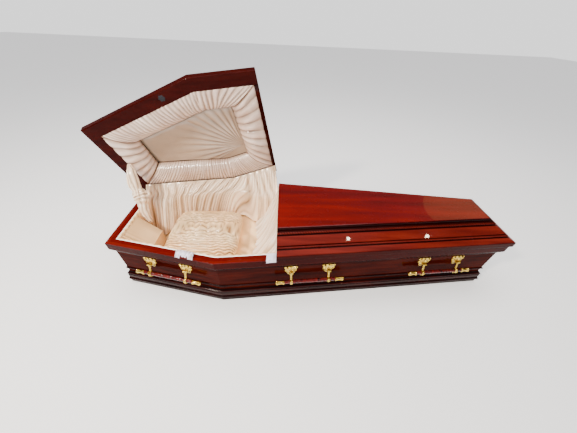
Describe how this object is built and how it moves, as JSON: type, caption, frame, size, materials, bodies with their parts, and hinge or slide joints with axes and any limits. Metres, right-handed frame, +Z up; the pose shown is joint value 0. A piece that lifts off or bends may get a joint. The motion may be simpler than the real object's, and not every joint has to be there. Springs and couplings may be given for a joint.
{
  "type": "coffin",
  "caption": "Lacquered wooden coffin with a split lid: the hinged head lid stands open on a satin lined interior, with swing bar handles",
  "frame": {"origin": "middle of the underside, at half the lid's length, on the surface the coffin stands on", "axes": "+X towards the foot end, -X towards the head end, +Y towards the hinge side, +Z up"},
  "size_m": [2.1202, 0.7739, 0.9854],
  "materials": {
    "mahogany": "high gloss red brown lacquer over wood, darker in the grooves",
    "mahogany_top": "high gloss deep red lacquer over figured veneer",
    "bar_lacquer": "gloss red lacquered bar with gold plated ends",
    "brass": "bright gold plated metal",
    "satin_lining": "cream satin, gathered",
    "satin_bedding": "cream satin over padding",
    "satin_pillow": "cream satin, smocked in wavy rows",
    "satin_lid": "cream satin, puffed and pleated",
    "satin_drape": "thin cream satin, loosely gathered"
  },
  "bodies": {
    "coffin": {"floor_board": "mahogany", "side_board_near": "mahogany", "side_board_far": "mahogany", "end_board_head": "mahogany", "end_board_foot": "mahogany", "rim_moulding": "mahogany", "plinth_moulding": "mahogany", "wall_bead": "mahogany", "plinth_bead": "mahogany", "foot_lid_frame": "mahogany", "foot_lid_riser": "mahogany", "foot_lid_rope_moulding": "mahogany", "foot_lid_top_board": "mahogany_top", "foot_lid_cut_rail": "mahogany", "hinge_leaf_body": "brass", "handle_near_head_lug_a": "brass", "handle_near_head_lug_b": "brass", "handle_near_middle_lug_a": "brass", "handle_near_middle_lug_b": "brass", "handle_near_foot_lug_a": "brass", "handle_near_foot_lug_b": "brass", "handle_far_head_lug_a": "brass", "handle_far_head_lug_b": "brass", "handle_far_middle_lug_a": "brass", "handle_far_middle_lug_b": "brass", "handle_far_foot_lug_a": "brass", "handle_far_foot_lug_b": "brass", "body_lining": "satin_lining", "mattress": "satin_bedding", "pillow": "satin_pillow", "head_wedge": "satin_lining", "hinge_drape": "satin_drape", "foot_apron": "satin_drape", "lid_stay_sleeve": "satin_drape"},
    "head_lid": {"head_lid_frame": "mahogany", "head_lid_riser": "mahogany", "head_lid_rope_moulding": "mahogany", "head_lid_top_board": "mahogany_top", "head_lid_cut_rail": "mahogany", "hinge_leaf_lid": "brass", "lid_border": "satin_lid", "lid_centre_panel": "satin_lid"},
    "handle_near_head": {"handle_near_head_arm_a": "brass", "handle_near_head_arm_b": "brass", "handle_near_head_bar": "bar_lacquer"},
    "handle_near_middle": {"handle_near_middle_arm_a": "brass", "handle_near_middle_arm_b": "brass", "handle_near_middle_bar": "bar_lacquer"},
    "handle_near_foot": {"handle_near_foot_arm_a": "brass", "handle_near_foot_arm_b": "brass", "handle_near_foot_bar": "bar_lacquer"},
    "handle_far_head": {"handle_far_head_arm_a": "brass", "handle_far_head_arm_b": "brass", "handle_far_head_bar": "bar_lacquer"},
    "handle_far_middle": {"handle_far_middle_arm_a": "brass", "handle_far_middle_arm_b": "brass", "handle_far_middle_bar": "bar_lacquer"},
    "handle_far_foot": {"handle_far_foot_arm_a": "brass", "handle_far_foot_arm_b": "brass", "handle_far_foot_bar": "bar_lacquer"}
  },
  "joints": [
    {"name": "lid_hinge", "type": "hinge", "parent": "coffin", "child": "head_lid", "pos_m": [-1.029, 0.22425, 0.3125], "axis": [0.9788, 0.205, 0], "range_deg": [0, 73.4], "deforming": ["hinge_drape", "lid_stay_sleeve", "foot_apron"]},
    {"name": "handle_near_head_swing", "type": "hinge", "parent": "coffin", "child": "handle_near_head", "pos_m": [-0.73365, -0.27386, 0.205], "axis": [-0.9788, 0.205, 0], "range_deg": [0, 80]},
    {"name": "handle_near_middle_swing", "type": "hinge", "parent": "coffin", "child": "handle_near_middle", "pos_m": [-0.01835, -0.28253, 0.205], "axis": [-0.9951, -0.0988, 0], "range_deg": [0, 80]},
    {"name": "handle_near_foot_swing", "type": "hinge", "parent": "coffin", "child": "handle_near_foot", "pos_m": [0.69315, -0.2119, 0.205], "axis": [-0.9951, -0.0988, 0], "range_deg": [0, 80]},
    {"name": "handle_far_head_swing", "type": "hinge", "parent": "coffin", "child": "handle_far_head", "pos_m": [-0.73365, 0.27386, 0.205], "axis": [0.9788, 0.205, 0], "range_deg": [0, 80]},
    {"name": "handle_far_middle_swing", "type": "hinge", "parent": "coffin", "child": "handle_far_middle", "pos_m": [-0.01835, 0.28253, 0.205], "axis": [0.9951, -0.0988, 0], "range_deg": [0, 80]},
    {"name": "handle_far_foot_swing", "type": "hinge", "parent": "coffin", "child": "handle_far_foot", "pos_m": [0.69315, 0.2119, 0.205], "axis": [0.9951, -0.0988, 0], "range_deg": [0, 80]}
  ]
}
